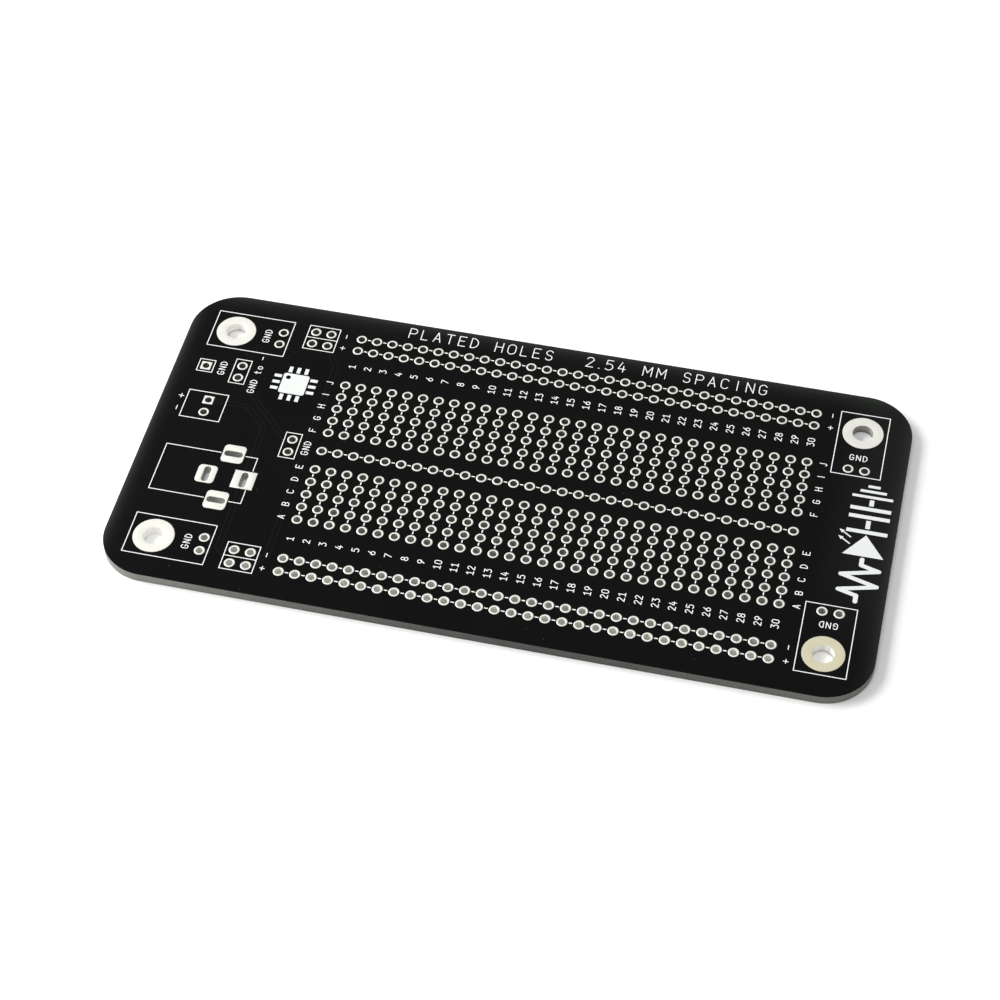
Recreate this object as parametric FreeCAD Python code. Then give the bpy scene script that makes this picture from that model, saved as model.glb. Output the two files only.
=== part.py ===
"""Solderable prototype board in a half-size breadboard layout, in millimetres.

A glass-epoxy core carries plated copper nets. Solder mask covers both faces, and white ink is
printed on the upper one. Origin: centre of the underside. +X runs along the numbered columns,
+Y towards row J, +Z up through the board.
"""
import FreeCAD, Part
import math
import os

V = FreeCAD.Vector

# ---- driving dimensions -----------------------------------------------------------------
PITCH = 2.54                  # spacing of the terminal holes
COLUMNS = 30                  # numbered columns
MIDDLE_COLUMN = 12            # grid column over the middle of the board
GROUND_ROW = 5.5              # row of the ground rail, along the middle of the board
BOARD_LENGTH = 46 * PITCH     # along X
BOARD_WIDTH = 23 * PITCH      # along Y
CORNER_RADIUS = 3 * PITCH     # concentric with the mounting holes
CORE_THICKNESS = 1.5          # glass epoxy
MASK_THICKNESS = 0.05         # solder mask on each face
COPPER_THICKNESS = 0.035      # tracks under the mask
PLATING = 0.035               # wall of a plated hole
MASK_GAP = 0.05               # bare ring between a pad and the mask
INK = 0.02                    # thickness of the printed legend

TERMINAL_HOLE = 1.1           # diameter
TERMINAL_PAD = 1.64           # diameter, or side of a square pad
MOUNTING_HOLE = 3.2           # diameter, clearance for an M3 screw
MOUNTING_PAD = 6.35           # diameter
MOUNTING_COLUMNS = (-8, 32)   # grid columns of the mounting holes
MOUNTING_ROWS = (-3, 14)      # grid rows of the mounting holes
TRACK_WIDTH = 0.8             # tracks of the strips and rails
TRACE_WIDTH = 0.9             # supply and ground traces

SLOT_LENGTH = 3.0             # slots for the power jack's blades
SLOT_WIDTH = 1.1
JACK_PAD = 3.5                # side of a jack pad
JACK_PAD_NARROW = 3.0         # width of the middle jack pad
JACK_PAD_CORNER = 0.65        # corner radius of the rounded jack pads
JACK_SLEEVE_OFFSET = 6.0      # centre blade to sleeve blade
JACK_SIDE_OFFSET = 3.0        # centre blade to the side blades, along X
JACK_SIDE_REACH = 4.7         # centre blade to the side blades, along Y

LINE = 0.13                   # printed outline width
STROKE = 0.13                 # printed stroke width of the small characters
TITLE_STROKE = 0.14           # printed stroke width of the title line
SYMBOL_STROKE = 0.7           # printed stroke width of the large circuit symbols
LABEL_HEIGHT = 1.05           # height of a character between the middles of its strokes
SIGN_HEIGHT = 1.15            # the same for the signs beside the rails
TERMINAL_SIGN_HEIGHT = 1.3    # the same for the signs beside the screw terminal
TITLE_HEIGHT = 2.02
LETTER_GAP = 0.33             # space between characters, as a share of their height
LABEL_GAP = 0.41              # the same in the ground labels
TITLE_GAP = 0.44              # the same in the title line

# ---- places worked out from them --------------------------------------------------------
CORE_BOTTOM = MASK_THICKNESS
CORE_TOP = CORE_BOTTOM + CORE_THICKNESS
TOP = CORE_TOP + MASK_THICKNESS

RAIL_ROWS = {
    "top_minus_rail": 15,
    "top_plus_rail": 14,
    "bottom_minus_rail": -3,
    "bottom_plus_rail": -4,
}
TAP_COLUMNS = (-3, -2)        # supply taps at the left end of each rail
STRIP_ROWS = {"lower": 0, "upper": 7}   # grid row of the first hole of each strip
STRIP_LETTERS = {"lower": "ABCDE", "upper": "FGHIJ"}
STRIP_HOLES = 5
STRIPS_PER_NODE = 5

JACK_AT = (-4, 2.25)          # grid place of the jack's centre blade
SCREW_PLUS_AT = (-8, 8)
SCREW_MINUS_AT = (-8, 7)
POST_AT = (-9, 10.75)
LINK_PADS_AT = ((-6.75, 10.2), (-6.75, 11.2))
HEADER_PADS_AT = ((-2, 5), (-2, 6))
GROUND_PAIRS = {
    "ground_pads_rear_left": ((-5, 13.5), (-5, 14.5)),
    "ground_pads_front_left": ((-5, -3.5), (-5, -2.5)),
    "ground_pads_rear_right": ((31.5, 11), (32.5, 11)),
    "ground_pads_front_right": ((31.5, 0), (32.5, 0)),
}


def at(column, row):
    """Board place of a grid position: column 0 is the first numbered one, row 0 is row A."""
    return V((column - MIDDLE_COLUMN) * PITCH, (row - GROUND_ROW) * PITCH, 0)


def export(node, shapes):
    """Write one node. Several separate solids share a file as one compound."""
    shape = shapes[0] if len(shapes) == 1 else Part.makeCompound(shapes)
    shape.exportStep("parts/%s.step" % node)


# ---- flat outlines ----------------------------------------------------------------------
def circle(centre, diameter):
    return Part.Wire([Part.makeCircle(diameter / 2, centre)])


def rectangle(centre, length, width, corner=0.0):
    """Closed outline of a rectangle, with rounded corners if corner is over zero."""
    x, y = length / 2, width / 2
    if not corner:
        points = [V(-x, -y), V(x, -y), V(x, y), V(-x, y), V(-x, -y)]
        return Part.makePolygon([p + centre for p in points])
    edges = []
    corners = ((x, y, 0), (-x, y, 90), (-x, -y, 180), (x, -y, 270))
    arcs = []
    for cx, cy, start in corners:
        middle = centre + V(math.copysign(x - corner, cx), math.copysign(y - corner, cy), 0)
        arcs.append(Part.makeCircle(corner, middle, V(0, 0, 1), start, start + 90))
    for arc, following in zip(arcs, arcs[1:] + arcs[:1]):
        edges.append(arc)
        start, end = arc.Vertexes[-1].Point, following.Vertexes[0].Point
        if start.distanceToPoint(end) > 1e-6:
            edges.append(Part.makeLine(start, end))
    return Part.Wire(Part.__sortEdges__(edges))


def flat(wires):
    """Flat face inside the first outline, with the others as holes."""
    return Part.makeFace(wires, "Part::FaceMakerBullseye")


def slab(wires, bottom, top):
    face = flat(wires)
    face.translate(V(0, 0, bottom))
    return face.extrude(V(0, 0, top - bottom))


# ---- holes and pads ---------------------------------------------------------------------
TERMINAL_SIZE = (TERMINAL_HOLE, TERMINAL_HOLE)


class Hole:
    """A plated hole: its place, its opening and its pad, grown by any margin."""

    def __init__(self, place, size=TERMINAL_SIZE, pad=TERMINAL_PAD, shape="round"):
        self.place = at(*place)
        self.size = size
        self.pad = pad if isinstance(pad, tuple) else (pad, pad)
        self.shape = shape

    def opening(self, margin=0.0):
        length, width = self.size[0] + 2 * margin, self.size[1] + 2 * margin
        if abs(length - width) < 1e-9:
            return circle(self.place, length)
        return rectangle(self.place, length, width, min(length, width) / 2 - 1e-4)

    def outline(self, margin=0.0):
        length, width = self.pad[0] + 2 * margin, self.pad[1] + 2 * margin
        if self.shape == "round":
            return circle(self.place, length)
        corner = JACK_PAD_CORNER + margin if self.shape == "rounded" else 0.0
        return rectangle(self.place, length, width, corner)

    def plated(self):
        """Pads on both faces joined by the plated wall, as one solid."""
        wall = slab([self.opening(PLATING), self.opening()], CORE_BOTTOM, CORE_TOP)
        lower = slab([self.outline(), self.opening()], 0, CORE_BOTTOM)
        upper = slab([self.outline(), self.opening()], CORE_TOP, TOP)
        return wall.multiFuse([lower, upper]).removeSplitter().Solids[0]

    def plug(self):
        """The open space of the hole, taken out of a track that crosses it."""
        return slab([self.opening()], 0, TOP)

    def pad_block(self):
        """The whole pad as a solid block, taken out of a trace that ends at it."""
        return slab([self.outline()], 0, TOP)


def jack_holes():
    """The four blades of the power jack: centre, sleeve and two side supports."""
    column, row = JACK_AT
    sleeve = column - JACK_SLEEVE_OFFSET / PITCH
    side = column - JACK_SIDE_OFFSET / PITCH
    reach = JACK_SIDE_REACH / PITCH
    upright = (SLOT_WIDTH, SLOT_LENGTH)
    lying = (SLOT_LENGTH, SLOT_WIDTH)
    return {
        "jack_pad_centre_blade": Hole((column, row), upright, JACK_PAD, "square"),
        "jack_pad_sleeve_blade": Hole((sleeve, row), upright, (JACK_PAD_NARROW, JACK_PAD), "rounded"),
        "jack_pad_side_rear": Hole((side, row + reach), lying, JACK_PAD, "rounded"),
        "jack_pad_side_front": Hole((side, row - reach), lying, JACK_PAD, "rounded"),
    }


def mounting_holes():
    names = {}
    for row, depth in zip(MOUNTING_ROWS, ("front", "rear")):
        for column, side in zip(MOUNTING_COLUMNS, ("left", "right")):
            size = (MOUNTING_HOLE, MOUNTING_HOLE)
            names["mounting_pad_%s_%s" % (depth, side)] = Hole((column, row), size, MOUNTING_PAD)
    return names


def strip_holes(half, column):
    first = STRIP_ROWS[half]
    return [Hole((column, first + i)) for i in range(STRIP_HOLES)]


def rail_holes(row, taps):
    columns = (list(TAP_COLUMNS) if taps else []) + list(range(COLUMNS))
    return [Hole((column, row)) for column in columns]


def single_holes():
    """The plated holes that belong to no strip or rail, by node."""
    nodes = {name: [hole] for name, hole in mounting_holes().items()}
    nodes.update({name: [hole] for name, hole in jack_holes().items()})
    for name, pair in GROUND_PAIRS.items():
        nodes[name] = [Hole(place) for place in pair]
    nodes["screw_terminal_pad_plus"] = [Hole(SCREW_PLUS_AT, shape="square")]
    nodes["screw_terminal_pad_minus"] = [Hole(SCREW_MINUS_AT)]
    nodes["ground_post_pad"] = [Hole(POST_AT, shape="square")]
    nodes["ground_link_pads"] = [Hole(place) for place in LINK_PADS_AT]
    nodes["ground_header_pads"] = [Hole(place) for place in HEADER_PADS_AT]
    return nodes


def all_holes():
    holes = [h for group in single_holes().values() for h in group]
    for half in STRIP_ROWS:
        for column in range(COLUMNS):
            holes += strip_holes(half, column)
    for row in RAIL_ROWS.values():
        holes += rail_holes(row, taps=True)
    return holes + rail_holes(GROUND_ROW, taps=False)


# ---- copper -----------------------------------------------------------------------------
def bottom_track(first, last):
    """Straight track on the lower face between two grid-aligned holes."""
    middle = (first.place + last.place) * 0.5
    span = last.place - first.place
    length, width = abs(span.x) + TRACK_WIDTH, abs(span.y) + TRACK_WIDTH
    return slab([rectangle(middle, length, width)], CORE_BOTTOM - COPPER_THICKNESS, CORE_BOTTOM)


def joined_net(holes):
    """Plated holes in a row and the track that joins them, as one solid."""
    track = bottom_track(holes[0], holes[-1]).cut(Part.makeCompound([h.plug() for h in holes]))
    return track.multiFuse([h.plated() for h in holes]).removeSplitter().Solids[0]


def trace_route(name):
    """Middle line of each trace on the upper face, as grid positions from pad to pad."""
    jack_column, jack_row = JACK_AT
    routes = {
        "trace_ground_link": [
            LINK_PADS_AT[0],
            (-6.75, 10.15),
            (-5.65, 9.2),
            (-2.6, 6.05),
            HEADER_PADS_AT[1],
        ],
        "trace_terminal_to_jack": [SCREW_PLUS_AT, (-5.45, 8), (jack_column, 6.55), JACK_AT],
        "trace_jack_to_rail": [JACK_AT, (jack_column, -3), (-3, -4)],
        "trace_rail_link": [(-2, 14), (-1, 12.4), (-1, -3), (-2, -4)],
    }
    return [at(*place) for place in routes[name]]


TRACES = (
    "trace_ground_link",
    "trace_terminal_to_jack",
    "trace_jack_to_rail",
    "trace_rail_link",
)


def trace(name, holes):
    """One trace under the upper mask, ending at the edges of the pads that it meets."""
    points = trace_route(name)
    path = Part.makePolygon(points)
    band = path.makeOffset2D(TRACE_WIDTH / 2, 0, True, False)
    band.translate(V(0, 0, CORE_TOP))
    solid = band.extrude(V(0, 0, COPPER_THICKNESS))
    ends = [h.pad_block() for h in holes if path.distToShape(Part.Vertex(h.place))[0] < PITCH / 2]
    return solid.cut(Part.makeCompound(ends)).Solids[0]


# ---- board layers -----------------------------------------------------------------------
def board_outline():
    return rectangle(V(0, 0, 0), BOARD_LENGTH, BOARD_WIDTH, CORNER_RADIUS)


def core(holes):
    return slab([board_outline()] + [h.opening(PLATING) for h in holes], CORE_BOTTOM, CORE_TOP)


def mask(holes, bottom, covered):
    """Solder mask: open around every pad, with room for the copper that it covers."""
    wires = [board_outline()] + [h.outline(MASK_GAP) for h in holes]
    sheet = slab(wires, bottom, bottom + MASK_THICKNESS)
    return sheet.cut(Part.makeCompound(covered)).Solids[0]


# ---- printed characters -----------------------------------------------------------------
# A stroke is a start point and its steps. A step is a point, reached in a straight line, or a
# pair (point passed through, point reached) for an arc. Height 1 is the height of a capital.
NARROW = 0.56
GLYPHS = {
    "1": [[(0.06, 0.78), (0.30, 1.0), (0.30, 0.0)], [(0.05, 0.0), (0.55, 0.0)]],
    "2": [[(0.02, 0.80), ((0.29, 1.0), (0.54, 0.72)), (0.0, 0.0), (NARROW, 0.0)]],
    "3": [[(0.02, 1.0), (0.52, 1.0), (0.25, 0.61), ((NARROW, 0.32), (0.02, 0.07))]],
    "4": [[(0.24, 1.0), (0.0, 0.30), (NARROW, 0.30)], [(0.40, 0.62), (0.40, 0.0)]],
    "5": [[(0.52, 1.0), (0.07, 1.0), (0.03, 0.56), ((NARROW, 0.32), (0.0, 0.08))]],
    "7": [[(0.0, 1.0), (NARROW, 1.0), (0.18, 0.0)]],
    "A": [[(0.0, 0.0), (0.28, 1.0), (NARROW, 0.0)], [(0.10, 0.32), (0.46, 0.32)]],
    "B": [
        [(0.0, 0.54), (0.0, 1.0), (0.30, 1.0), ((0.53, 0.77), (0.30, 0.54)), (0.0, 0.54)],
        [(0.0, 0.0), (0.0, 0.54), (0.29, 0.54), ((NARROW, 0.27), (0.29, 0.0)), (0.0, 0.0)],
    ],
    "C": [[(0.54, 0.84), ((0.28, 1.0), (0.0, 0.70)), (0.0, 0.30), ((0.28, 0.0), (0.54, 0.16))]],
    "D": [[(0.0, 0.0), (0.0, 1.0), (0.18, 1.0), ((NARROW, 0.50), (0.18, 0.0)), (0.0, 0.0)]],
    "E": [[(0.54, 1.0), (0.0, 1.0), (0.0, 0.0), (0.54, 0.0)], [(0.0, 0.53), (0.42, 0.53)]],
    "F": [[(0.54, 1.0), (0.0, 1.0), (0.0, 0.0)], [(0.0, 0.53), (0.42, 0.53)]],
    "G": [
        [(0.54, 0.84), ((0.28, 1.0), (0.0, 0.70)), (0.0, 0.30), ((0.28, 0.0), (NARROW, 0.22))],
        [(NARROW, 0.22), (NARROW, 0.46), (0.32, 0.46)],
    ],
    "H": [[(0.0, 0.0), (0.0, 1.0)], [(NARROW, 0.0), (NARROW, 1.0)], [(0.0, 0.53), (NARROW, 0.53)]],
    "I": [[(0.28, 0.0), (0.28, 1.0)]],
    "J": [[(0.42, 1.0), (0.42, 0.24), ((0.26, 0.0), (0.05, 0.12))]],
    "L": [[(0.0, 1.0), (0.0, 0.0), (0.50, 0.0)]],
    "M": [[(0.0, 0.0), (0.0, 1.0), (0.33, 0.35), (0.66, 1.0), (0.66, 0.0)]],
    "N": [[(0.0, 0.0), (0.0, 1.0), (0.58, 0.0), (0.58, 1.0)]],
    "P": [
        [(0.0, 0.46), (0.0, 1.0), (0.30, 1.0), ((NARROW, 0.73), (0.30, 0.46)), (0.0, 0.46)],
        [(0.0, 0.0), (0.0, 0.46)],
    ],
    "S": [[(0.52, 0.84), ((0.10, 0.93), (0.28, 0.50)), ((0.46, 0.07), (0.04, 0.16))]],
    "T": [[(0.0, 1.0), (0.60, 1.0)], [(0.30, 1.0), (0.30, 0.0)]],
    "t": [[(0.20, 0.95), (0.20, 0.16), ((0.25, 0.04), (0.40, 0.0))], [(0.0, 0.66), (0.42, 0.66)]],
    ".": [[(0.04, 0.0), (0.08, 0.0)]],
    "-": [[(0.0, 0.5), (0.60, 0.5)]],
    "+": [[(0.0, 0.5), (0.60, 0.5)], [(0.30, 0.2), (0.30, 0.8)]],
}
# Closed loops of a character: (middle x, middle y, width, height).
LOOPS = {
    "0": [(0.28, 0.50, 0.56, 1.0)],
    "6": [(0.28, 0.30, 0.56, 0.60)],
    "8": [(0.28, 0.75, 0.46, 0.50), (0.28, 0.26, 0.56, 0.52)],
    "9": [(0.28, 0.70, 0.56, 0.60)],
    "O": [(0.31, 0.50, 0.62, 1.0)],
    "o": [(0.27, 0.33, 0.54, 0.66)],
}
TAILS = {
    "6": [[(0.48, 1.0), ((0.09, 0.72), (0.0, 0.30))]],
    "9": [[(NARROW, 0.70), ((0.47, 0.28), (0.08, 0.0))]],
}
ADVANCE = {"1": NARROW, "I": NARROW, "O": 0.62, "M": 0.66, "N": 0.58, "T": 0.6, ".": 0.12}


def straight_band(first, last, width):
    """Band between two places with round ends."""
    along = last - first
    band = flat([rectangle(V(0, 0, 0), along.Length + width, width, width / 2 - 1e-4)])
    band.rotate(V(0, 0, 0), V(0, 0, 1), math.degrees(math.atan2(along.y, along.x)))
    band.translate((first + last) * 0.5)
    return band


def stroke_band(stroke, scale, width):
    """Printed band along one stroke, with round ends."""
    here = V(stroke[0][0] * scale, stroke[0][1] * scale, 0)
    edges = []
    for step in stroke[1:]:
        if isinstance(step[0], tuple):
            passed = V(step[0][0] * scale, step[0][1] * scale, 0)
            there = V(step[1][0] * scale, step[1][1] * scale, 0)
            edges.append(Part.Arc(here, passed, there).toShape())
        else:
            there = V(step[0] * scale, step[1] * scale, 0)
            edges.append(Part.makeLine(here, there))
        here = there
    path = Part.Wire(edges)
    if len(stroke) == 2:
        return straight_band(V(stroke[0][0] * scale, stroke[0][1] * scale, 0), here, width)
    if path.isClosed():
        outer = path.makeOffset2D(width / 2, 0, False, False)
        inner = path.makeOffset2D(-width / 2, 0, False, False)
        if inner.BoundBox.DiagonalLength > outer.BoundBox.DiagonalLength:
            outer, inner = inner, outer
        return flat([outer, inner])
    return path.makeOffset2D(width / 2, 0, True, False)


def loop_band(loop, scale, width):
    """Printed ring with straight sides and round ends."""
    x, y, length, height = (value * scale for value in loop)
    middle = V(x, y, 0)
    rings = []
    for grown in (width, -width):
        size = (length + grown, height + grown)
        rings.append(rectangle(middle, size[0], size[1], min(size) / 2 - 1e-4))
    return flat(rings)


GLYPH_CACHE = {}


def glyph(character, scale, width):
    """Flat printed shape of one character, with its lower left corner at the origin."""
    key = (character, scale, width)
    if key not in GLYPH_CACHE:
        bands = [loop_band(loop, scale, width) for loop in LOOPS.get(character, [])]
        strokes = GLYPHS.get(character, []) + TAILS.get(character, [])
        bands += [stroke_band(stroke, scale, width) for stroke in strokes]
        shape = bands[0]
        if len(bands) > 1:
            shape = bands[0].multiFuse(bands[1:]).removeSplitter()
        GLYPH_CACHE[key] = shape.extrude(V(0, 0, INK))
    return GLYPH_CACHE[key].copy()


def printed_text(words, place, turn=0, scale=LABEL_HEIGHT, width=STROKE, gap=LETTER_GAP):
    """Solids of a line of text, centred on a place and turned about it."""
    pen, shapes = 0.0, []
    for character in words:
        if character != " ":
            letter = glyph(character, scale, width)
            letter.translate(V(pen, 0, 0))
            shapes += letter.Solids
        pen += (ADVANCE.get(character, NARROW) + gap) * scale
    length = pen - gap * scale
    for shape in shapes:
        shape.translate(V(-length / 2, -scale / 2, 0))
        shape.rotate(V(0, 0, 0), V(0, 0, 1), turn)
        shape.translate(place + V(0, 0, TOP))
    return shapes


# ---- printed lines ----------------------------------------------------------------------
def printed_bar(first, last, width=LINE):
    """Straight printed line between two places, square at both ends."""
    along = last - first
    middle = (first + last) * 0.5
    bar = slab([rectangle(V(0, 0, 0), along.Length, width)], TOP, TOP + INK)
    bar.rotate(V(0, 0, 0), V(0, 0, 1), math.degrees(math.atan2(along.y, along.x)))
    bar.translate(middle)
    return bar


def printed_frame(low, high):
    """Printed rectangle between two opposite corners."""
    middle = (low + high) * 0.5
    length, width = high.x - low.x, high.y - low.y
    outer = rectangle(middle, length + LINE, width + LINE)
    inner = rectangle(middle, length - LINE, width - LINE)
    return slab([outer, inner], TOP, TOP + INK)


def link_marks(places):
    """Short marks half way between neighbouring pads."""
    mark_length, mark_width = 0.54, 0.17
    marks = []
    for first, last in zip(places, places[1:]):
        along = (last - first).normalize()
        middle = (first + last) * 0.5
        half = along * (mark_length / 2)
        marks.append(printed_bar(middle - half, middle + half, mark_width))
    return marks


def strip_link_marks():
    marks = []
    for half in STRIP_ROWS:
        for column in range(COLUMNS):
            marks += link_marks([hole.place for hole in strip_holes(half, column)])
    return marks


def rail_link_marks():
    marks = []
    for row in list(RAIL_ROWS.values()) + [GROUND_ROW]:
        marks += link_marks([hole.place for hole in rail_holes(row, taps=False)])
    return marks


JACK_BODY_LEFT = 13.8         # centre blade to the open end of the jack
JACK_BODY_RIGHT = 0.9         # centre blade to the jack's back
JACK_BODY_WIDTH = 9.2
JACK_OUTLINE_GAP = 0.2        # from a jack pad to the printed outline


def jack_outline():
    """Outline of the power jack, broken where it meets the side and centre pads."""
    centre = at(*JACK_AT)
    left = centre.x - JACK_BODY_LEFT
    right = centre.x + JACK_BODY_RIGHT
    reach = JACK_BODY_WIDTH / 2
    gap = JACK_PAD / 2 + JACK_OUTLINE_GAP
    side_x = centre.x - JACK_SIDE_OFFSET
    bars = []
    for sign in (-1, 1):
        y = centre.y + sign * reach
        bars.append(printed_bar(V(left - LINE / 2, y, 0), V(side_x - gap, y, 0)))
        bars.append(printed_bar(V(side_x + gap, y, 0), V(right + LINE / 2, y, 0)))
        near = V(right, centre.y + sign * gap, 0)
        bars.append(printed_bar(near, V(right, y - sign * LINE / 2, 0)))
    low, high = V(left, centre.y - reach + LINE / 2, 0), V(left, centre.y + reach - LINE / 2, 0)
    bars.append(printed_bar(low, high))
    return bars


def outlines():
    """Printed outlines of the mounting corners, taps, headers, terminal and jack."""
    frames = [
        (at(-9.5, 12.5), at(-4.5, 15.5)),
        (at(-9.5, -4.5), at(-4.5, -1.5)),
        (at(30.5, 10.5), at(33.5, 15.5)),
        (at(30.5, -4.5), at(33.5, 0.5)),
        (at(-3.5, 13.5), at(-1.5, 15.5)),
        (at(-3.5, -4.5), at(-1.5, -2.5)),
        (at(-2.5, 4.5), at(-1.5, 6.5)),
        (at(-9.5, 10.25), at(-8.5, 11.25)),
        (at(-7.25, 9.7), at(-6.25, 11.7)),
    ]
    screw = at(-8, 7.5)
    back, front, side = 3.54, 2.90, 2.82
    frames.append((screw + V(-back, -side, 0), screw + V(front, side, 0)))
    marks = [printed_frame(low, high) for low, high in frames]
    for row in (14.5, -3.5):
        inset = V(LINE / 2, 0, 0)
        marks.append(printed_bar(at(-3.5, row) + inset, at(-1.5, row) - inset))
    return marks + jack_outline()


def column_numbers(row):
    shapes = []
    for column in range(COLUMNS):
        shapes += printed_text(str(column + 1), at(column, row), 90)
    return shapes


def row_letters():
    shapes = []
    for half, letters in STRIP_LETTERS.items():
        for index, letter in enumerate(letters):
            for column in (-1, COLUMNS):
                place = at(column, STRIP_ROWS[half] + index)
                shapes += printed_text(letter, place, 90)
    return shapes


def polarity_marks():
    """Plus and minus signs beside the rails and the screw terminal."""
    shapes = []
    for name, row in RAIL_ROWS.items():
        sign = "-" if "minus" in name else "+"
        for column in (-1, COLUMNS):
            shapes += printed_text(sign, at(column, row), 90, SIGN_HEIGHT)
    beside = 1.75
    for sign, (column, row) in (("+", SCREW_PLUS_AT), ("-", SCREW_MINUS_AT)):
        shapes += printed_text(sign, at(column - beside, row), 90, TERMINAL_SIGN_HEIGHT)
    return shapes


def ground_labels():
    """The word GND beside each ground pad, with the place and turn of each label."""
    labels = [
        ("GND", (-5.94, 14), 90),
        ("GND", (-5.94, -3), 90),
        ("GND", (32, 11.95), 0),
        ("GND", (32, -0.95), 180),
        ("GND", (-1, GROUND_ROW), 90),
        ("GND", (-7.93, 10.75), 90),
        ("GND to -", (-5.67, 10.67), 90),
    ]
    shapes = []
    for words, place, turn in labels:
        shapes += printed_text(words, at(*place), turn, gap=LABEL_GAP)
    return shapes


def title_line():
    """Two groups of words in the rear margin."""
    shapes = []
    for words, column in (("PLATED HOLES", 7.48), ("2.54 MM SPACING", 20)):
        place = at(column, 16.2)
        shapes += printed_text(words, place, 0, TITLE_HEIGHT, TITLE_STROKE, TITLE_GAP)
    return shapes


def chip_symbol():
    """Small emblem of a chip: a square body with a corner dot and three pins on each side."""
    body, pin_length, pin_width, pin_step = 4.2, 1.2, 0.6, 1.3
    centre = at(-3.17, 10.4)
    dot = circle(centre + V(-1.25, 1.25, 0), 0.8)
    shapes = [slab([rectangle(centre, body, body, 0.4), dot], TOP, TOP + INK)]
    for index in (-1, 0, 1):
        for turn in range(4):
            inner = V(body / 2 + 0.25, index * pin_step, 0)
            outer = inner + V(pin_length, 0, 0)
            pin = printed_bar(inner, outer, pin_width)
            pin.rotate(V(0, 0, 0), V(0, 0, 1), 90 * turn)
            pin.translate(centre)
            shapes.append(pin)
    return shapes


def zigzag_line(bottom, top, reach, teeth):
    """Resistor: a zigzag with a short lead at each end, on the line x = 0."""
    lead = 1.1
    tooth = (top - bottom - 2 * lead) / teeth
    points = [V(0, bottom, 0), V(0, bottom + lead, 0)]
    for index in range(teeth):
        side = reach if index % 2 else -reach
        points.append(V(side, bottom + lead + tooth * (index + 0.5), 0))
    points += [V(0, top - lead, 0), V(0, top, 0)]
    return Part.makePolygon(points).makeOffset2D(SYMBOL_STROKE / 2, 0, True, False)


def light_arrow(tail, head, width):
    """Thin arrow of the light-emitting diode."""
    along = (head - tail).normalize()
    across = V(-along.y, along.x, 0) * (1.5 * width)
    neck = head - along * (3.5 * width)
    shaft = flat([rectangle(V(0, 0, 0), (neck - tail).Length, width)])
    shaft.rotate(V(0, 0, 0), V(0, 0, 1), math.degrees(math.atan2(along.y, along.x)))
    shaft.translate((tail + neck) * 0.5)
    tip = flat([Part.makePolygon([neck + across, neck - across, head, neck + across])])
    return shaft.fuse(tip).removeSplitter()


def circuit_symbols():
    """Large printed symbols in a column: resistor, light-emitting diode, capacitor and earth."""
    middle = at(33.25, GROUND_ROW)
    half = 3.1
    stroke = SYMBOL_STROKE
    resistor = zigzag_line(-11.2, -3.2, half - stroke / 2, 4)
    base, apex = -2.6, 1.5
    corners = [V(-half, base, 0), V(half, base, 0), V(0, apex, 0), V(-half, base, 0)]
    faces = [resistor, flat([Part.makePolygon(corners)])]
    bars = [
        (2.1, 2 * half, stroke),                    # cathode
        (3.55, stroke, 1.6),                        # lead
        (5.0, 2 * half, stroke),                    # capacitor plates
        (6.6, 2 * half, stroke),
        (7.85, stroke, 1.2),                        # lead
        (9.0, 2 * half, 0.5),                       # earth
        (10.1, 1.3 * half, 0.5),
        (11.1, 0.6 * half, 0.5),
    ]
    for height, length, width in bars:
        faces.append(flat([rectangle(V(0, height, 0), length, width)]))
    for shift in (0, 1.3):
        tail, head = V(-2.2, -0.6 + shift, 0), V(-4.1, 0.7 + shift, 0)
        faces.append(light_arrow(tail, head, 0.22))
    shapes = []
    for face in faces:
        face.translate(middle + V(0, 0, TOP))
        shapes.append(face.extrude(V(0, 0, INK)))
    return shapes


# ---- the whole board --------------------------------------------------------------------
def build_layers(holes, traces, tracks):
    export("woven_glass_core", [core(holes)])
    export("solder_mask_top", [mask(holes, CORE_TOP, traces)])
    export("solder_mask_bottom", [mask(holes, 0, tracks)])


def build_strips():
    """Terminal strips, five columns to a node. All are copies of one strip."""
    for half in STRIP_ROWS:
        pattern = joined_net(strip_holes(half, 0))
        for start in range(0, COLUMNS, STRIPS_PER_NODE):
            strips = []
            for column in range(start, start + STRIPS_PER_NODE):
                strip = pattern.copy()
                strip.translate(V(column * PITCH, 0, 0))
                strips.append(strip)
            last = start + STRIPS_PER_NODE
            export("terminal_strips_%s_%02d_%02d" % (half, start + 1, last), strips)


def build_rails():
    for name, row in RAIL_ROWS.items():
        export(name, [joined_net(rail_holes(row, taps=True))])
    export("ground_rail", [joined_net(rail_holes(GROUND_ROW, taps=False))])


def build_single_nets():
    for name, group in single_holes().items():
        if name in GROUND_PAIRS or name == "ground_header_pads":
            export(name, [joined_net(group)])
        else:
            export(name, [hole.plated() for hole in group])


def covered_tracks():
    """Every track on the lower face, for the room that the lower mask leaves them."""
    rows = [strip_holes(half, column) for half in STRIP_ROWS for column in range(COLUMNS)]
    rows += [rail_holes(row, taps=True) for row in RAIL_ROWS.values()]
    rows.append(rail_holes(GROUND_ROW, taps=False))
    groups = single_holes()
    rows += [groups[name] for name in list(GROUND_PAIRS) + ["ground_header_pads"]]
    return [bottom_track(row[0], row[-1]) for row in rows]


def build_legend():
    export("column_numbers_upper", column_numbers(12.6))
    export("column_numbers_lower", column_numbers(-1.5))
    export("row_letters", row_letters())
    export("link_marks_strips", strip_link_marks())
    export("link_marks_rails", rail_link_marks())
    export("connector_outlines", outlines())
    export("polarity_marks", polarity_marks())
    export("ground_labels", ground_labels())
    export("title_line", title_line())
    export("chip_symbol", chip_symbol())
    export("circuit_symbols", circuit_symbols())


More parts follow.
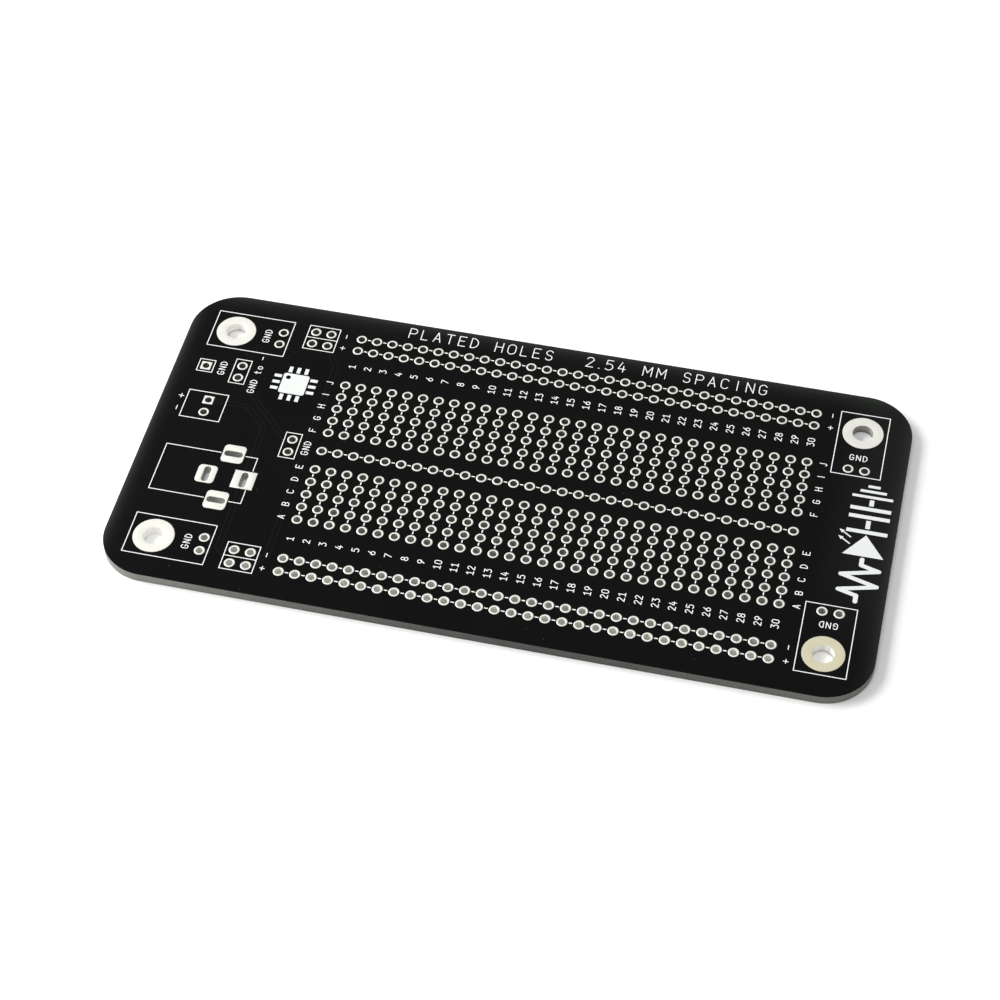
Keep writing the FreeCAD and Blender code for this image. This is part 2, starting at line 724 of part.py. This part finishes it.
def main():
    os.makedirs("parts", exist_ok=True)
    holes = all_holes()
    traces = [trace(name, holes) for name in TRACES]
    for name, solid in zip(TRACES, traces):
        export(name, [solid])
    build_layers(holes, traces, covered_tracks())
    build_strips()
    build_rails()
    build_single_nets()
    build_legend()


main()
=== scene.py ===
"""Looks of the solderable prototype board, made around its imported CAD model, in metres."""

import math

import bpy
from mathutils import Matrix, Vector


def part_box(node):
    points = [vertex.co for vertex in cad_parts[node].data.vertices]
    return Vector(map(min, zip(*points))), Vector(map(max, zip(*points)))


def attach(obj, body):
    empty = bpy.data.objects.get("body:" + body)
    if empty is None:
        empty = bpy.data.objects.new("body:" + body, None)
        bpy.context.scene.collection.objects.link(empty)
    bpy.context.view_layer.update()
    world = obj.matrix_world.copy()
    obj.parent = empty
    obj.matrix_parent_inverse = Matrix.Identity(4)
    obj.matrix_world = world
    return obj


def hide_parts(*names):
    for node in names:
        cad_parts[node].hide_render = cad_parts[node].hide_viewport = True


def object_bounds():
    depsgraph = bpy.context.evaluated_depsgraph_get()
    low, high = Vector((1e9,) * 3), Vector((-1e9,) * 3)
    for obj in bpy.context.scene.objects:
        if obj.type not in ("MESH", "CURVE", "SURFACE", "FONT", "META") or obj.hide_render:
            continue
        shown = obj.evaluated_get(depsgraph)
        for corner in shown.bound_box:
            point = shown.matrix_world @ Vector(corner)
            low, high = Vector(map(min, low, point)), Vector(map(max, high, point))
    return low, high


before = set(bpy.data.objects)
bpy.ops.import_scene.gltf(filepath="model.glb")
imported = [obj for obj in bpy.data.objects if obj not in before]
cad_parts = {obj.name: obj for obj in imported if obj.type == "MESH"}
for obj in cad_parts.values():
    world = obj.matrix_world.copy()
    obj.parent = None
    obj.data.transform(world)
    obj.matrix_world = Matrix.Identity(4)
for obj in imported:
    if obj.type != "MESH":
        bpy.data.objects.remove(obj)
cad_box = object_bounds()

# ---- sizes ------------------------------------------------------------------------------
MM = 0.001
PITCH = 2.54 * MM             # spacing of the terminal holes
PAD = 1.64 * MM               # diameter, or side, of a terminal pad
HOLE = 1.1 * MM               # diameter of a terminal hole
MOUNTING_PAD = 6.35 * MM
MOUNTING_HOLE = 3.2 * MM
SLOT_LENGTH = 3.0 * MM        # slots for the power jack's blades
SLOT_WIDTH = 1.1 * MM
JACK_CORNER = 0.65 * MM       # corner radius of the rounded jack pads
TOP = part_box("solder_mask_top")[1].z
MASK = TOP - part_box("solder_mask_top")[0].z
CROWN = 0.008 * MM            # how far the tin stands over the mask
RIM = 0.025 * MM              # how far the tin's rim lies under its crown
SHOULDER = 0.06 * MM          # nearly flat band beside a terminal pad's rim and hole
MOUNTING_SHOULDER = 0.35 * MM
MOUNTING_LIP = 0.045 * MM     # how far the tin rounds over into a mounting hole
TRACE_FLANK = 0.16 * MM       # width of the slope where the mask climbs over a trace
TRACE_RISE = 0.016 * MM       # how far the mask stands up over a trace
FLOOR_SIZE = 3.0
FLOOR_GAP = 0.02 * MM         # between the table and the board's lower face
TAP_GAP_INDEX = 2             # the place left empty between a rail's taps and its first hole
TERMINAL_SIDES = 20           # sides of the rings that make a terminal pad
MOUNTING_SIDES = 72
CUTTER_SIDES = 32
TIN_SMOOTH = math.radians(40)     # faces that meet at less than this are shaded as one
RELIEF_SMOOTH = math.radians(30)
ROOM_LIGHT = 0.45             # brightness of the room around the board

PAIR_NODES = [
    "ground_pads_rear_left", "ground_pads_front_left", "ground_pads_rear_right",
    "ground_pads_front_right", "ground_link_pads", "ground_header_pads",
]
RAIL_NODES = ["top_minus_rail", "top_plus_rail", "bottom_minus_rail", "bottom_plus_rail"]
CORE_NODE = next(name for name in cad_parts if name.endswith("_core"))
SQUARE_NODES = ["screw_terminal_pad_plus", "ground_post_pad"]
JACK_NODES = {                # corner radius, and whether the slot runs from front to rear
    "jack_pad_centre_blade": (0.0, True),
    "jack_pad_sleeve_blade": (JACK_CORNER, True),
    "jack_pad_side_rear": (JACK_CORNER, False),
    "jack_pad_side_front": (JACK_CORNER, False),
}
INK_NODES = [
    "column_numbers_upper", "column_numbers_lower", "row_letters", "link_marks_strips",
    "link_marks_rails", "connector_outlines", "polarity_marks", "ground_labels",
    "title_line",
]
FILL_NODES = ["chip_symbol", "circuit_symbols"]
STRIP_NODES = sorted(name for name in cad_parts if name.startswith("terminal_strips"))
TRACE_NODES = sorted(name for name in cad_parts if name.startswith("trace_"))
MOUNTING_NODES = sorted(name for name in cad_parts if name.startswith("mounting_pad"))


# ---- shader maths -----------------------------------------------------------------------
class Value:
    """A number that varies over a surface. Arithmetic on it adds Math nodes."""

    def __init__(self, finish, socket):
        self.finish = finish
        self.socket = socket

    def maths(self, operation, first, second=0.0):
        return self.finish.node("ShaderNodeMath", {"operation": operation}, {0: first, 1: second})

    def __add__(self, other):
        return self.maths("ADD", self, other)

    def __sub__(self, other):
        return self.maths("SUBTRACT", self, other)

    def __rsub__(self, other):
        return self.maths("SUBTRACT", other, self)

    def __mul__(self, other):
        return self.maths("MULTIPLY", self, other)

    __radd__ = __add__
    __rmul__ = __mul__

    def power(self, exponent):
        return self.maths("POWER", self, exponent)

    def fading(self, reach):
        """1 where the value is 0, and about a third of that at each further reach."""
        return self.maths("EXPONENT", self * (-1.0 / reach))

    def above(self, level, soft):
        """0 under the level and 1 over it, across a soft step."""
        sloped = (self - (level - soft / 2)) * (1.0 / soft)
        return self.maths("MINIMUM", self.maths("MAXIMUM", sloped, 0.0), 1.0)


class Finish:
    """A material under construction, on the object's own coordinates."""

    def __init__(self, name, colour, roughness, metallic=0.0):
        self.material = bpy.data.materials.new(name)
        self.material.use_nodes = True
        self.tree = self.material.node_tree
        self.shader = self.tree.nodes["Principled BSDF"]
        self.set("Base Color", (*colour, 1.0))
        self.set("Roughness", roughness)
        self.set("Metallic", metallic)
        coordinates = self.tree.nodes.new("ShaderNodeTexCoord")
        self.place = Value(self, coordinates.outputs["Object"])

    def plug(self, socket, item):
        if isinstance(item, Value):
            self.tree.links.new(item.socket, socket)
        else:
            socket.default_value = item

    def set(self, name, item):
        self.plug(self.shader.inputs[name], item)

    def node(self, kind, settings, inputs, output=0):
        made = self.tree.nodes.new(kind)
        for key, item in settings.items():
            setattr(made, key, item)
        for key, item in inputs.items():
            self.plug(made.inputs[key], item)
        return Value(self, made.outputs[output])

    def along(self, axis):
        """Place along X, Y or Z, in metres."""
        return self.node("ShaderNodeSeparateXYZ", {}, {"Vector": self.place}, axis)

    def stretched(self, scale):
        """The object's coordinates, scaled along each axis."""
        return self.node("ShaderNodeMapping", {}, {"Vector": self.place, "Scale": scale})

    def noise(self, size, detail, place=None):
        """Cloudy value around 0.5, with features of the given size in metres."""
        inputs = {"Vector": place or self.place, "Scale": 1.0 / size, "Detail": detail}
        return self.node("ShaderNodeTexNoise", {}, inputs, "Fac")

    def cells(self, size):
        """Distance to the nearest of a scatter of points, in units of their spacing."""
        inputs = {"Vector": self.place, "Scale": 1.0 / size}
        return self.node("ShaderNodeTexVoronoi", {}, inputs, "Distance")

    def blend(self, amount, first, second):
        """Colour between two colours."""
        inputs = {0: amount, 6: first, 7: second}
        return self.node("ShaderNodeMix", {"data_type": "RGBA"}, inputs, 2)

    def bump(self, height, depth):
        """Relief of the given depth, in metres, where height goes from 0 to 1."""
        inputs = {"Height": height, "Distance": depth, "Strength": 1.0}
        self.set("Normal", self.node("ShaderNodeBump", {}, inputs))


# ---- finishes ---------------------------------------------------------------------------
def solder_mask_finish(name, wear):
    """Black screen-printed mask: semi-gloss, orange peel, dust, and a painted reflection pales its
    edges.

    Wear makes it paler all over. A painted sheen pales the right-hand end behind the front corner.
    """
    finish = Finish(name, (0.004, 0.004, 0.0045), 0.30)
    cloudy = finish.noise(14 * MM, 3.0)
    peel = finish.noise(0.55 * MM, 2.0)
    grain = finish.noise(0.09 * MM, 1.0)
    dust = 1.0 - finish.cells(2.6 * MM).above(0.028, 0.015)
    black = finish.blend(cloudy, (0.0013, 0.0013, 0.0015, 1), (0.0022, 0.0021, 0.0023, 1))
    from_left = finish.along("X") - cad_box[0].x
    from_right = cad_box[1].x - finish.along("X")
    from_rear = cad_box[1].y - finish.along("Y")
    # Painted reflection: the mask is paler near its rear, left and right edges.
    edge_sheen = from_rear.fading(1.0 * MM) * 0.52 + from_left.fading(0.6 * MM) * 0.85
    edge_sheen = edge_sheen + from_right.fading(0.9 * MM) * 0.34
    # Painted sheen: the right-hand end behind the front corner is a little paler.
    tone_patch = finish.along("X").above(50 * MM, 6 * MM) * finish.along("Y").above(-14 * MM, 14 * MM)
    # Paler by the painted reflection and sheen, and by wear.
    pale = finish.blend(edge_sheen + tone_patch * 0.10 + wear, black, (0.041, 0.047, 0.040, 1))
    finish.set("Base Color", finish.blend(dust * 0.4, pale, (0.12, 0.12, 0.11, 1)))
    finish.set("Roughness", cloudy * 0.08 + peel * 0.06 + grain * 0.05 + 0.16)
    finish.set("Specular IOR Level", 0.11)
    finish.bump(peel * 0.7 + grain * 0.3, 0.003 * MM)
    return finish.material


def tin_finish():
    """Hot-air-levelled tin: frosty white, with soft waves, fine grain and a warm patch."""
    finish = Finish("levelled_tin", (0.92, 0.92, 0.90), 0.4, 0.35)
    waves = finish.noise(1.1 * MM, 2.0)
    grain = finish.noise(0.12 * MM, 2.0)
    tone_patch = finish.noise(4.0 * MM, 2.0).above(0.56, 0.25)
    aged = finish.along("X").above(47 * MM, 2 * MM) * (0 - finish.along("Y")).above(17 * MM, 2 * MM)
    tin = finish.blend(tone_patch, (0.785, 0.775, 0.715, 1), (0.715, 0.705, 0.64, 1))
    finish.set("Base Color", finish.blend(aged, tin, (0.64, 0.60, 0.43, 1)))
    finish.set("Roughness", waves * 0.16 + grain * 0.10 + tone_patch * 0.08 + 0.24)
    finish.set("Metallic", waves * 0.3 + 0.2)
    finish.bump(waves * 0.8 + grain * 0.2, 0.010 * MM)
    return finish.material


def barrel_finish(name, rear, front, steepness=4.0, left=0.0, foot=0.0):
    """Plated wall of a hole: streaky grey tin, with painted light going from one colour at the rear
    of the board to another at the front, late and fast when steepness is high.

    With left it is also paler towards the left, as painted light, and with foot darker at the
    wall's foot, as painted shade.
    """
    finish = Finish(name, (0.4, 0.4, 0.38), 0.5, 0.3)
    board = cad_box[1] - cad_box[0]
    frontness = 0.5 - finish.along("Y") * (1.0 / board.y)
    leftness = 0.5 - finish.along("X") * (1.0 / board.x)
    # Painted shade: darker towards the wall's foot.
    painted_foot_shade = finish.along("Z").fading(0.22 * MM) * foot
    # Painted light: paler towards the front of the board, and with left also towards the left.
    painted_light = frontness.power(steepness) + leftness.power(3.0) * left - painted_foot_shade
    streaks = finish.noise(0.45 * MM, 3.0, place=finish.stretched((1.0, 1.0, 0.4))).above(0.5, 0.3)
    shade = streaks * 0.24 + painted_light
    finish.set("Base Color", finish.blend(shade.maths("MINIMUM", shade, 1.0), rear, front))
    finish.set("Roughness", streaks * 0.3 + 0.3)
    finish.bump(streaks, 0.02 * MM)
    return finish.material


def glass_epoxy_finish():
    """Routed edge of the laminate: grey-olive resin with paler layers of cut glass fibre."""
    finish = Finish("glass_epoxy", (0.10, 0.10, 0.08), 0.62)
    layers = finish.noise(0.16 * MM, 1.0, place=finish.stretched((0.05, 0.05, 1.0)))
    bundles = finish.noise(0.22 * MM, 2.0, place=finish.stretched((0.45, 0.45, 1.6)))
    specks = finish.noise(0.07 * MM, 1.0).above(0.60, 0.10)
    fibre = (layers * 0.5 + bundles * 0.5).above(0.50, 0.22)
    # The edge goes paler towards both ends along X, darkest a little right of the middle.
    aside = (finish.along("X") - 10 * MM) * (1.0 / (42 * MM))
    cloudy = finish.noise(9 * MM, 2.0)
    shade = aside * aside * 0.5 + cloudy * 0.16 - 0.08
    resin = finish.blend(shade, (0.026, 0.028, 0.023, 1), (0.18, 0.19, 0.165, 1))
    layered = finish.blend(fibre * 0.14, resin, (0.30, 0.31, 0.28, 1))
    finish.set("Base Color", finish.blend(specks * 0.12, layered, (0.45, 0.45, 0.42, 1)))
    finish.set("Roughness", bundles * 0.2 + 0.5)
    finish.bump(fibre * 0.5 + specks * 0.3 + bundles * 0.2, 0.02 * MM)
    return finish.material


def ink_finish(name, thin, thick):
    """White legend ink: matt, and slightly uneven where the printing screen laid it thinner."""
    finish = Finish(name, (0.80, 0.81, 0.80), 0.55)
    mesh = finish.noise(0.10 * MM, 1.0)
    patches = finish.noise(0.7 * MM, 2.0)
    finish.set("Base Color", finish.blend(patches * 0.6 + mesh * 0.4, thin, thick))
    finish.set("Roughness", mesh * 0.2 + 0.45)
    finish.bump(mesh, 0.004 * MM)
    return finish.material


def copper_finish():
    """Etched copper foil, hidden under the mask."""
    finish = Finish("etched_copper", (0.72, 0.38, 0.22), 0.4, 1.0)
    tarnish = finish.noise(1.5 * MM, 3.0)
    finish.set("Base Color", finish.blend(tarnish, (0.74, 0.40, 0.24, 1), (0.52, 0.25, 0.15, 1)))
    finish.set("Roughness", tarnish * 0.25 + 0.3)
    finish.bump(tarnish, 0.005 * MM)
    return finish.material


def floor_finish():
    """Plain white table top."""
    return Finish("table_white", (0.88, 0.88, 0.88), 0.7).material


MASK_FINISH = solder_mask_finish("solder_mask", 0.0)
RIDGE_FINISH = solder_mask_finish("worn_mask", 0.08)
TIN_FINISH = tin_finish()
# Hole and slot walls: painted light, dark at the rear of the board and light at the front.
HOLE_FINISH = barrel_finish("hole_wall", (0.03, 0.03, 0.027, 1), (0.92, 0.91, 0.86, 1))
SLOT_FINISH = barrel_finish("slot_wall", (0.22, 0.22, 0.20, 1), (0.75, 0.75, 0.72, 1))
# Mounting hole walls: painted light also towards the left, and painted shade at the foot.
MOUNT_FINISH = barrel_finish("mounting_hole_wall", (0.20, 0.20, 0.17, 1), (0.90, 0.89, 0.85, 1),
                             steepness=1.2, left=1.0, foot=1.0)
EPOXY_FINISH = glass_epoxy_finish()
INK_FINISH = ink_finish("legend_ink", (0.70, 0.71, 0.70, 1), (0.90, 0.91, 0.90, 1))
FILL_FINISH = ink_finish("legend_fill", (0.56, 0.58, 0.565, 1), (0.70, 0.72, 0.70, 1))
COPPER_FINISH = copper_finish()


# ---- modelling tools --------------------------------------------------------------------
def deselect():
    if bpy.context.mode != "OBJECT":
        bpy.ops.object.mode_set(mode="OBJECT")
    bpy.ops.object.select_all(action="DESELECT")


def make_active(piece):
    deselect()
    piece.select_set(True)
    bpy.context.view_layer.objects.active = piece


def edit_all(piece):
    """Edit mode with everything selected."""
    make_active(piece)
    bpy.ops.object.mode_set(mode="EDIT")
    bpy.ops.mesh.select_all(action="SELECT")


def end_edit():
    bpy.ops.object.mode_set(mode="OBJECT")


def select_faces(piece, wanted):
    """Leave edit mode, select the faces for which wanted(face) is true, and enter it again."""
    end_edit()
    mesh = piece.data
    for item in list(mesh.vertices) + list(mesh.edges):
        item.select = False
    for face in mesh.polygons:
        face.select = wanted(face)
    bpy.ops.object.mode_set(mode="EDIT")


def apply_modifier(piece, kind, **settings):
    make_active(piece)
    modifier = piece.modifiers.new(kind.lower(), kind)
    for key, item in settings.items():
        setattr(modifier, key, item)
    bpy.ops.object.modifier_apply(modifier=modifier.name)


def settle(piece):
    """Put the piece's place into its mesh and its object at the origin."""
    make_active(piece)
    bpy.ops.object.transform_apply(location=True, rotation=True, scale=True)


def finish_piece(piece, name, smooth):
    """Name a piece, smooth its shading and let it ride on the board."""
    piece.name = name
    piece.data.name = name
    make_active(piece)
    bpy.ops.object.shade_smooth_by_angle(angle=smooth)
    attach(piece, "root")


def coat(piece, finishes, chosen=None):
    """Give a piece its finishes. Faces for which chosen(face) is true take the second one."""
    piece.data.materials.clear()
    for finish in finishes:
        piece.data.materials.append(finish)
    for face in piece.data.polygons:
        face.material_index = 1 if chosen and chosen(face) else 0


def copies_at(pattern, places):
    """One object made of copies of the pattern's mesh at each place."""
    copies = []
    for place in places:
        copy = bpy.data.objects.new("copy", pattern.data.copy())
        copy.data.transform(Matrix.Translation(place))
        bpy.context.scene.collection.objects.link(copy)
        copies.append(copy)
    deselect()
    for copy in copies:
        copy.select_set(True)
    bpy.context.view_layer.objects.active = copies[0]
    if len(copies) > 1:
        bpy.ops.object.join()
    return copies[0]


def places_in(node, size):
    """Centres of the holes in a node's box, one pitch apart, for pads of the given size."""
    low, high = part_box(node)
    counts = [round((high[axis] - low[axis] - size) / PITCH) + 1 for axis in (0, 1)]
    places = []
    for column in range(counts[0]):
        for row in range(counts[1]):
            if node in RAIL_NODES and column == TAP_GAP_INDEX:
                continue
            x = low.x + size / 2 + column * PITCH
            y = low.y + size / 2 + row * PITCH
            places.append(Vector((x, y, 0)))
    return places


# ---- plated pads ------------------------------------------------------------------------
def round_pad(pad, hole, sides, shoulder, lip, wall_finish):
    """A plated hole with crowned tin pads on both faces, drawn up and in ring by ring.

    Each ring is a radius and a height. The pad's outer rim drops by RIM, and its inner edge is
    rounded over by the lip.
    """
    outer, inner = pad / 2, hole / 2
    middle = (outer + inner) / 2
    crown = TOP + CROWN
    upper = [
        (outer - 0.2 * RIM, TOP - 0.5 * MASK),
        (outer - 0.9 * RIM, crown - 0.55 * RIM),
        (outer - 0.9 * RIM - shoulder, crown - 0.1 * RIM),
        (middle, crown),
        (inner + shoulder, crown - 0.2 * lip),
        (inner + 0.4 * lip, crown - 0.9 * lip),
        (inner, crown - 2.6 * lip),
    ]
    lower = [(radius, max(TOP - height, 0.0)) for radius, height in reversed(upper)]
    rings = [(outer, 0.5 * MASK), (outer, TOP - 0.9 * MASK)] + upper + lower
    deselect()
    first_radius, first_height = rings[0]
    bpy.ops.mesh.primitive_circle_add(vertices=sides, radius=first_radius, location=(0, 0, 0))
    piece = bpy.context.object
    edit_all(piece)
    bpy.ops.transform.translate(value=(0, 0, first_height))
    for (radius, height), (next_radius, next_height) in zip(rings, rings[1:]):
        move = {"value": (0, 0, next_height - height)}
        bpy.ops.mesh.extrude_region_move(TRANSFORM_OT_translate=move)
        share = next_radius / radius
        bpy.ops.transform.resize(value=(share, share, 1), center_override=(0, 0, next_height))
    bpy.ops.mesh.select_all(action="SELECT")
    bpy.ops.mesh.remove_doubles(threshold=0.0005 * MM)
    bpy.ops.mesh.normals_make_consistent(inside=False)
    end_edit()
    inside = inner + 0.5 * lip
    coat(piece, (TIN_FINISH, wall_finish), lambda face: max(
        piece.data.vertices[i].co.xy.length for i in face.vertices) < inside)
    return piece


def cutter_for(length, width):
    """Upright prism with round ends, which cuts a hole or a slot."""
    deselect()
    bpy.ops.mesh.primitive_cylinder_add(
        vertices=CUTTER_SIDES, radius=width / 2, depth=4 * TOP, location=(0, 0, TOP / 2))
    cutter = bpy.context.object
    stretch = (length - width) / 2
    for vertex in cutter.data.vertices:
        vertex.co.x += math.copysign(stretch, vertex.co.x) if abs(vertex.co.x) > 1e-7 else 0.0
    return cutter


def slab_pad(size, corner, slot, turned):
    """A square or rounded pad with a hole or slot: a block, rounded, cut and crowned."""
    deselect()
    bpy.ops.mesh.primitive_cube_add(size=1, location=(0, 0, 0))
    piece = bpy.context.object
    piece.scale = (size[0], size[1], TOP + CROWN)
    piece.location = (0, 0, (TOP + CROWN) / 2)
    settle(piece)
    if corner:
        edit_all(piece)
        bpy.ops.mesh.select_mode(type="EDGE")
        bpy.ops.mesh.select_all(action="DESELECT")
        end_edit()
        for edge in piece.data.edges:
            first, last = (piece.data.vertices[i].co for i in edge.vertices)
            edge.select = abs(first.z - last.z) > TOP / 2
        bpy.ops.object.mode_set(mode="EDIT")
        bpy.ops.mesh.bevel(offset=corner, segments=6)
        bpy.ops.mesh.select_mode(type="FACE")
        end_edit()
    cutter = cutter_for(*slot)
    if turned:
        cutter.data.transform(Matrix.Rotation(math.pi / 2, 4, "Z"))
    apply_modifier(piece, "BOOLEAN", operation="DIFFERENCE", object=cutter, solver="EXACT")
    bpy.data.objects.remove(cutter)
    apply_modifier(piece, "BEVEL", width=RIM, segments=4, limit_method="ANGLE",
                   angle_limit=math.radians(60))
    return piece


def place_round_pads(pattern, size, nodes):
    """Copies of the pattern at every hole of each node."""
    for node in nodes:
        piece = copies_at(pattern, places_in(node, size))
        finish_piece(piece, "tinned_" + node, TIN_SMOOTH)
        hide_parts(node)
    bpy.data.objects.remove(pattern)


def place_slab_pad(node, corner, slot, turned):
    """A slab pad as large as the node's box and in its place."""
    low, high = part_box(node)
    size = (high.x - low.x, high.y - low.y)
    piece = slab_pad(size, corner, slot, turned)
    middle = (low + high) / 2
    wall = HOLE_FINISH if slot[0] == slot[1] else SLOT_FINISH
    reach = min(size) / 2 - RIM
    coat(piece, (TIN_FINISH, wall), lambda face: abs(face.normal.z) < 0.3
         and max(abs(face.center.x), abs(face.center.y)) < reach)
    piece.data.transform(Matrix.Translation((middle.x, middle.y, 0)))
    finish_piece(piece, "tinned_" + node, TIN_SMOOTH)
    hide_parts(node)


def place_pads():
    """Every plated hole of the board, each node's pads as one piece."""
    small = round_pad(PAD, HOLE, TERMINAL_SIDES, SHOULDER, RIM, HOLE_FINISH)
    single_nodes = ["ground_rail", "screw_terminal_pad_minus"]
    place_round_pads(small, PAD, STRIP_NODES + RAIL_NODES + single_nodes + PAIR_NODES)
    large = round_pad(MOUNTING_PAD, MOUNTING_HOLE, MOUNTING_SIDES, MOUNTING_SHOULDER,
                      MOUNTING_LIP, MOUNT_FINISH)
    place_round_pads(large, MOUNTING_PAD, MOUNTING_NODES)
    for node in SQUARE_NODES:
        place_slab_pad(node, 0.0, (HOLE, HOLE), False)
    for node, (corner, turned) in JACK_NODES.items():
        place_slab_pad(node, corner, (SLOT_LENGTH, SLOT_WIDTH), turned)


# ---- mask relief ------------------------------------------------------------------------
def trace_relief(node):
    """The mask stands up a little where it runs over a trace, with sloping flanks."""
    piece = bpy.data.objects.new("relief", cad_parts[node].data.copy())
    bpy.context.scene.collection.objects.link(piece)
    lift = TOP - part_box(node)[1].z
    piece.data.transform(Matrix.Translation((0, 0, lift + 0.0005 * MM)))
    edit_all(piece)
    bpy.ops.mesh.remove_doubles(threshold=0.001 * MM)
    bpy.ops.mesh.dissolve_limited(angle_limit=math.radians(1))
    select_faces(piece, lambda face: face.normal.z > 0.9)
    bpy.ops.mesh.inset(thickness=TRACE_FLANK, depth=TRACE_RISE)
    end_edit()
    coat(piece, (MASK_FINISH, RIDGE_FINISH), lambda face: face.normal.z < 0.999)
    finish_piece(piece, "mask_over_" + node, RELIEF_SMOOTH)


# ---- camera, floor and lights -----------------------------------------------------------
def set_camera():
    """Three-quarter view from above, a little to the right, with a long lens."""
    target = Vector((-1.30, -3.65, 1.62)) * MM
    azimuth, elevation, roll = (math.radians(angle) for angle in (13.66, 50.68, -0.94))
    distance = 375.56 * MM
    turn = Matrix.Rotation(azimuth, 3, "Z") @ Matrix.Rotation(math.pi / 2 - elevation, 3, "X")
    turn = turn @ Matrix.Rotation(roll, 3, "Z")
    data = bpy.data.cameras.new("camera")
    data.lens = 88.78
    data.sensor_width = 36
    data.clip_start = 0.01
    camera = bpy.data.objects.new("camera", data)
    back = turn @ Vector((0, 0, 1))
    camera.matrix_world = Matrix.Translation(target + back * distance) @ turn.to_4x4()
    bpy.context.scene.collection.objects.link(camera)
    bpy.context.scene.camera = camera


def add_floor():
    """Plain table top, just under the board."""
    deselect()
    bpy.ops.mesh.primitive_plane_add(size=FLOOR_SIZE, location=(0, 0, -FLOOR_GAP))
    floor = bpy.context.object
    floor.name = "table"
    floor.data.materials.append(floor_finish())


def add_softbox(name, place, size, watts):
    """Oblong white area light aimed at the middle of the board."""
    data = bpy.data.lights.new(name, "AREA")
    data.shape = "RECTANGLE"
    data.size, data.size_y = size
    data.energy = watts
    lamp = bpy.data.objects.new(name, data)
    lamp.location = place
    lamp.rotation_euler = (-Vector(place)).to_track_quat("-Z", "Y").to_euler()
    bpy.context.scene.collection.objects.link(lamp)


def light_scene():
    """Even pale studio: a white room for the camera, dimmer for the light that it gives."""
    world = bpy.data.worlds.new("studio")
    world.use_nodes = True
    tree = world.node_tree
    background = tree.nodes["Background"]
    path = tree.nodes.new("ShaderNodeLightPath")
    strength = tree.nodes.new("ShaderNodeMix")
    strength.inputs["A"].default_value = ROOM_LIGHT
    strength.inputs["B"].default_value = 1.0
    tree.links.new(path.outputs["Is Camera Ray"], strength.inputs["Factor"])
    tree.links.new(strength.outputs["Result"], background.inputs["Strength"])
    background.inputs["Color"].default_value = (1, 1, 1, 1)
    bpy.context.scene.world = world
    add_softbox("key_softbox", (-0.80, 0.07, 0.50), (0.85, 0.6), 15)
    add_softbox("top_softbox", (0.0, -0.25, 1.0), (0.6, 0.6), 3)
    bpy.context.scene.view_settings.view_transform = "Standard"


def finish_cad_nodes():
    """The CAD nodes that stay in view get their finishes."""
    finishes = {"solder_mask_top": MASK_FINISH, "solder_mask_bottom": MASK_FINISH}
    finishes[CORE_NODE] = EPOXY_FINISH
    finishes.update({node: INK_FINISH for node in INK_NODES})
    finishes.update({node: FILL_FINISH for node in FILL_NODES})
    finishes.update({node: COPPER_FINISH for node in TRACE_NODES})
    for node, material in finishes.items():
        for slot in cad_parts[node].material_slots:
            slot.material = material


set_camera()
add_floor()
light_scene()
finish_cad_nodes()
place_pads()
for trace_node in TRACE_NODES:
    trace_relief(trace_node)
deselect()
